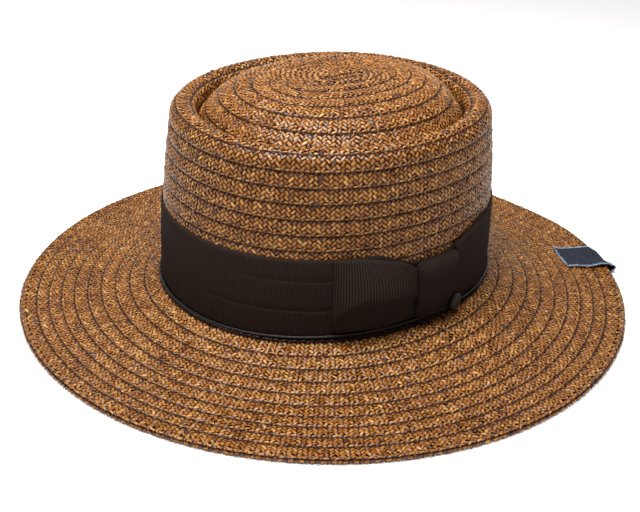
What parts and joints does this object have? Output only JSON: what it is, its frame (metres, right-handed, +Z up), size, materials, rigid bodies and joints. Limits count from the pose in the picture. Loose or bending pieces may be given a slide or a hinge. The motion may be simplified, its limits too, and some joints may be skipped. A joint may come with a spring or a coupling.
{
  "type": "braided straw hat with a turned-down brim",
  "caption": "Sun hat sewn from flat straw plait: domed tip in a rolled rim, straight crown, wide turned-down brim, dark ribbon with a flat bow, guard cord and button, blank denim tab.",
  "frame": {"origin": "middle of the brim's foot, on the surface that the hat rests on", "axes": "+Z up, -Y to the front of the hat, +X to the wearer's left, where the bow is"},
  "size_m": [0.3658, 0.3724, 0.1345],
  "materials": {
    "straw_plait": "plaited straw, satin, with darker strands",
    "dark_ribbon": "ribbed ribbon, soft sheen",
    "black_cord": "thin braided elastic cord",
    "horn_button": "satin",
    "blue_denim": "twill with frayed pale edges"
  },
  "bodies": {
    "root": {"crown": "straw_plait", "brim": "straw_plait", "ribbon_band": "dark_ribbon", "bow_loop": "dark_ribbon", "bow_knot": "dark_ribbon", "bow_tail": "dark_ribbon", "guard_cord": "black_cord", "wind_button": "horn_button", "denim_tab": "blue_denim"}
  },
  "joints": []
}
